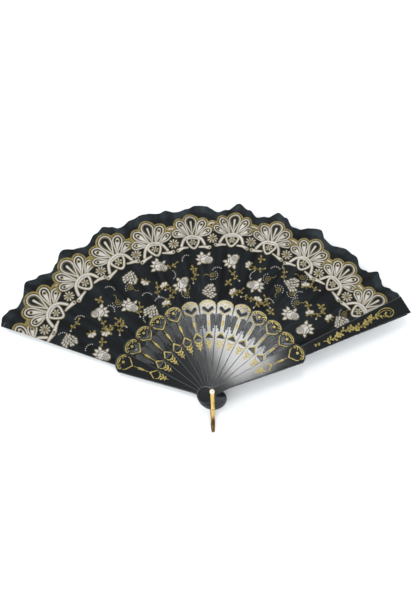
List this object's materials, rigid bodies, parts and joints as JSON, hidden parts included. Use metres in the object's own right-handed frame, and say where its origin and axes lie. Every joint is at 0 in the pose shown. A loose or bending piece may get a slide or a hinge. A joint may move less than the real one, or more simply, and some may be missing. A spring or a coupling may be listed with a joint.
{
  "type": "folding hand fan",
  "caption": "Pierced black plastic folding hand fan with a pleated printed cloth leaf, a domed rivet and a brass bail, lying open.",
  "frame": {"origin": "on the rivet's axis, in the flat face of its tail head", "axes": "+Z along the rivet towards the printed front, +Y along the middle rib, +X to the front guard's side"},
  "size_m": [0.4024, 0.245, 0.02],
  "materials": {
    "stick_plastic": "moulded, gloss",
    "leaf_cloth": "thin woven cloth, slightly sheer",
    "rivet_steel": "bright plated",
    "bail_brass": "bright, stamped",
    "gold_foil": "hot-stamped foil",
    "silver_print": "screen-printed pearl ink"
  },
  "bodies": {
    "back_guard": {"back_guard": "stick_plastic", "rivet": "rivet_steel", "leaf_panel_00": "leaf_cloth"},
    "bail": {"bail": "bail_brass"},
    "rib_01": {"rib_01": "stick_plastic", "leaf_panel_01": "leaf_cloth"},
    "rib_02": {"rib_02": "stick_plastic", "leaf_panel_02": "leaf_cloth"},
    "rib_03": {"rib_03": "stick_plastic", "leaf_panel_03": "leaf_cloth"},
    "rib_04": {"rib_04": "stick_plastic", "leaf_panel_04": "leaf_cloth"},
    "rib_05": {"rib_05": "stick_plastic", "leaf_panel_05": "leaf_cloth"},
    "rib_06": {"rib_06": "stick_plastic", "leaf_panel_06": "leaf_cloth"},
    "rib_07": {"rib_07": "stick_plastic", "leaf_panel_07": "leaf_cloth"},
    "rib_08": {"rib_08": "stick_plastic", "leaf_panel_08": "leaf_cloth"},
    "rib_09": {"rib_09": "stick_plastic", "leaf_panel_09": "leaf_cloth"},
    "rib_10": {"rib_10": "stick_plastic", "leaf_panel_10": "leaf_cloth"},
    "rib_11": {"rib_11": "stick_plastic", "leaf_panel_11": "leaf_cloth"},
    "front_guard": {"front_guard": "stick_plastic", "leaf_panel_12": "leaf_cloth"},
    "leaf_fold_01": {"leaf_fold_01": "leaf_cloth"},
    "leaf_fold_02": {"leaf_fold_02": "leaf_cloth"},
    "leaf_fold_03": {"leaf_fold_03": "leaf_cloth"},
    "leaf_fold_04": {"leaf_fold_04": "leaf_cloth"},
    "leaf_fold_05": {"leaf_fold_05": "leaf_cloth"},
    "leaf_fold_06": {"leaf_fold_06": "leaf_cloth"},
    "leaf_fold_07": {"leaf_fold_07": "leaf_cloth"},
    "leaf_fold_08": {"leaf_fold_08": "leaf_cloth"},
    "leaf_fold_09": {"leaf_fold_09": "leaf_cloth"},
    "leaf_fold_10": {"leaf_fold_10": "leaf_cloth"},
    "leaf_fold_11": {"leaf_fold_11": "leaf_cloth"},
    "leaf_fold_12": {"leaf_fold_12": "leaf_cloth"}
  },
  "joints": [
    {"name": "rib_01_hinge", "type": "hinge", "parent": "back_guard", "child": "rib_01", "pos_m": [0, 0, 0.0096], "axis": [0, 0, 1], "range_deg": [0, 11.1]},
    {"name": "rib_02_hinge", "type": "hinge", "parent": "rib_01", "child": "rib_02", "pos_m": [0, 0, 0.0096], "axis": [0, 0, 1], "range_deg": [0, 11.1]},
    {"name": "rib_03_hinge", "type": "hinge", "parent": "rib_02", "child": "rib_03", "pos_m": [0, 0, 0.0096], "axis": [0, 0, 1], "range_deg": [0, 11.1]},
    {"name": "rib_04_hinge", "type": "hinge", "parent": "rib_03", "child": "rib_04", "pos_m": [0, 0, 0.0096], "axis": [0, 0, 1], "range_deg": [0, 11.1]},
    {"name": "rib_05_hinge", "type": "hinge", "parent": "rib_04", "child": "rib_05", "pos_m": [0, 0, 0.0096], "axis": [0, 0, 1], "range_deg": [0, 11.1]},
    {"name": "rib_06_hinge", "type": "hinge", "parent": "rib_05", "child": "rib_06", "pos_m": [0, 0, 0.0096], "axis": [0, 0, 1], "range_deg": [0, 11.1]},
    {"name": "rib_07_hinge", "type": "hinge", "parent": "rib_06", "child": "rib_07", "pos_m": [0, 0, 0.0096], "axis": [0, 0, 1], "range_deg": [0, 11.1]},
    {"name": "rib_08_hinge", "type": "hinge", "parent": "rib_07", "child": "rib_08", "pos_m": [0, 0, 0.0096], "axis": [0, 0, 1], "range_deg": [0, 11.1]},
    {"name": "rib_09_hinge", "type": "hinge", "parent": "rib_08", "child": "rib_09", "pos_m": [0, 0, 0.0096], "axis": [0, 0, 1], "range_deg": [0, 11.1]},
    {"name": "rib_10_hinge", "type": "hinge", "parent": "rib_09", "child": "rib_10", "pos_m": [0, 0, 0.0096], "axis": [0, 0, 1], "range_deg": [0, 11.1]},
    {"name": "rib_11_hinge", "type": "hinge", "parent": "rib_10", "child": "rib_11", "pos_m": [0, 0, 0.0096], "axis": [0, 0, 1], "range_deg": [0, 11.1]},
    {"name": "front_guard_hinge", "type": "hinge", "parent": "rib_11", "child": "front_guard", "pos_m": [0, 0, 0.0096], "axis": [0, 0, 1], "range_deg": [0, 11.1]},
    {"name": "leaf_fold_01_crease", "type": "hinge", "parent": "back_guard", "child": "leaf_fold_01", "pos_m": [0, 0, 0.0096], "axis": [0, 0, 1], "range_deg": [0, 5.55]},
    {"name": "leaf_fold_02_crease", "type": "hinge", "parent": "rib_01", "child": "leaf_fold_02", "pos_m": [0, 0, 0.0096], "axis": [0, 0, 1], "range_deg": [0, 5.55]},
    {"name": "leaf_fold_03_crease", "type": "hinge", "parent": "rib_02", "child": "leaf_fold_03", "pos_m": [0, 0, 0.0096], "axis": [0, 0, 1], "range_deg": [0, 5.55]},
    {"name": "leaf_fold_04_crease", "type": "hinge", "parent": "rib_03", "child": "leaf_fold_04", "pos_m": [0, 0, 0.0096], "axis": [0, 0, 1], "range_deg": [0, 5.55]},
    {"name": "leaf_fold_05_crease", "type": "hinge", "parent": "rib_04", "child": "leaf_fold_05", "pos_m": [0, 0, 0.0096], "axis": [0, 0, 1], "range_deg": [0, 5.55]},
    {"name": "leaf_fold_06_crease", "type": "hinge", "parent": "rib_05", "child": "leaf_fold_06", "pos_m": [0, 0, 0.0096], "axis": [0, 0, 1], "range_deg": [0, 5.55]},
    {"name": "leaf_fold_07_crease", "type": "hinge", "parent": "rib_06", "child": "leaf_fold_07", "pos_m": [0, 0, 0.0096], "axis": [0, 0, 1], "range_deg": [0, 5.55]},
    {"name": "leaf_fold_08_crease", "type": "hinge", "parent": "rib_07", "child": "leaf_fold_08", "pos_m": [0, 0, 0.0096], "axis": [0, 0, 1], "range_deg": [0, 5.55]},
    {"name": "leaf_fold_09_crease", "type": "hinge", "parent": "rib_08", "child": "leaf_fold_09", "pos_m": [0, 0, 0.0096], "axis": [0, 0, 1], "range_deg": [0, 5.55]},
    {"name": "leaf_fold_10_crease", "type": "hinge", "parent": "rib_09", "child": "leaf_fold_10", "pos_m": [0, 0, 0.0096], "axis": [0, 0, 1], "range_deg": [0, 5.55]},
    {"name": "leaf_fold_11_crease", "type": "hinge", "parent": "rib_10", "child": "leaf_fold_11", "pos_m": [0, 0, 0.0096], "axis": [0, 0, 1], "range_deg": [0, 5.55]},
    {"name": "leaf_fold_12_crease", "type": "hinge", "parent": "rib_11", "child": "leaf_fold_12", "pos_m": [0, 0, 0.0096], "axis": [0, 0, 1], "range_deg": [0, 5.55]},
    {"name": "bail_swing", "type": "hinge", "parent": "back_guard", "child": "bail", "pos_m": [0, 0, 0.0096], "axis": [0, 0, 1], "range_deg": [-90, 90]}
  ],
  "couplings": [
    {"joint": "rib_02_hinge", "follows": "rib_01_hinge", "ratio": 1},
    {"joint": "rib_03_hinge", "follows": "rib_01_hinge", "ratio": 1},
    {"joint": "rib_04_hinge", "follows": "rib_01_hinge", "ratio": 1},
    {"joint": "rib_05_hinge", "follows": "rib_01_hinge", "ratio": 1},
    {"joint": "rib_06_hinge", "follows": "rib_01_hinge", "ratio": 1},
    {"joint": "rib_07_hinge", "follows": "rib_01_hinge", "ratio": 1},
    {"joint": "rib_08_hinge", "follows": "rib_01_hinge", "ratio": 1},
    {"joint": "rib_09_hinge", "follows": "rib_01_hinge", "ratio": 1},
    {"joint": "rib_10_hinge", "follows": "rib_01_hinge", "ratio": 1},
    {"joint": "rib_11_hinge", "follows": "rib_01_hinge", "ratio": 1},
    {"joint": "front_guard_hinge", "follows": "rib_01_hinge", "ratio": 1},
    {"joint": "leaf_fold_01_crease", "follows": "rib_01_hinge", "ratio": 0.5},
    {"joint": "leaf_fold_02_crease", "follows": "rib_01_hinge", "ratio": 0.5},
    {"joint": "leaf_fold_03_crease", "follows": "rib_01_hinge", "ratio": 0.5},
    {"joint": "leaf_fold_04_crease", "follows": "rib_01_hinge", "ratio": 0.5},
    {"joint": "leaf_fold_05_crease", "follows": "rib_01_hinge", "ratio": 0.5},
    {"joint": "leaf_fold_06_crease", "follows": "rib_01_hinge", "ratio": 0.5},
    {"joint": "leaf_fold_07_crease", "follows": "rib_01_hinge", "ratio": 0.5},
    {"joint": "leaf_fold_08_crease", "follows": "rib_01_hinge", "ratio": 0.5},
    {"joint": "leaf_fold_09_crease", "follows": "rib_01_hinge", "ratio": 0.5},
    {"joint": "leaf_fold_10_crease", "follows": "rib_01_hinge", "ratio": 0.5},
    {"joint": "leaf_fold_11_crease", "follows": "rib_01_hinge", "ratio": 0.5},
    {"joint": "leaf_fold_12_crease", "follows": "rib_01_hinge", "ratio": 0.5}
  ]
}
